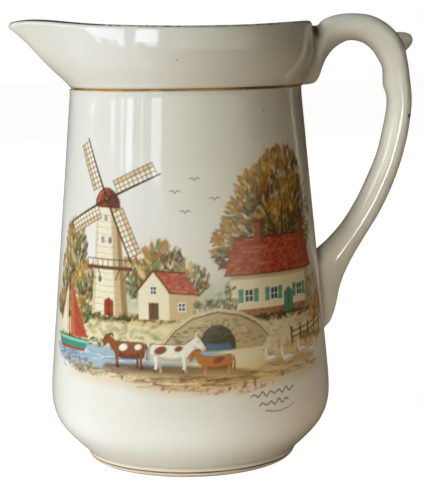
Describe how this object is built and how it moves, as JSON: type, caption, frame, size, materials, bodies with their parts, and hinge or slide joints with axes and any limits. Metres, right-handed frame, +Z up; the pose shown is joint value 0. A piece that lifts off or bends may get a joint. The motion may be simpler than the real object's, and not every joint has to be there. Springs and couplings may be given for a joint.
{
  "type": "pitcher",
  "caption": "Glazed jug with a tapered round body on a low foot, a bulging collar drawn out to a pouring spout, and a loop handle with a thumb spur.",
  "frame": {"origin": "On the body's axis at the height of the foot ring's standing face; the base panel inside the ring is 1 mm above it.", "axes": "+Z is up along the body's axis, the spout points along -X and the handle along +X, so +Y is to the left of one who holds the handle and pours away."},
  "size_m": [0.1754, 0.1214, 0.1911],
  "materials": {
    "glazed_earthenware": "gloss"
  },
  "bodies": {
    "root": {"pitcher": "glazed_earthenware"}
  },
  "joints": []
}
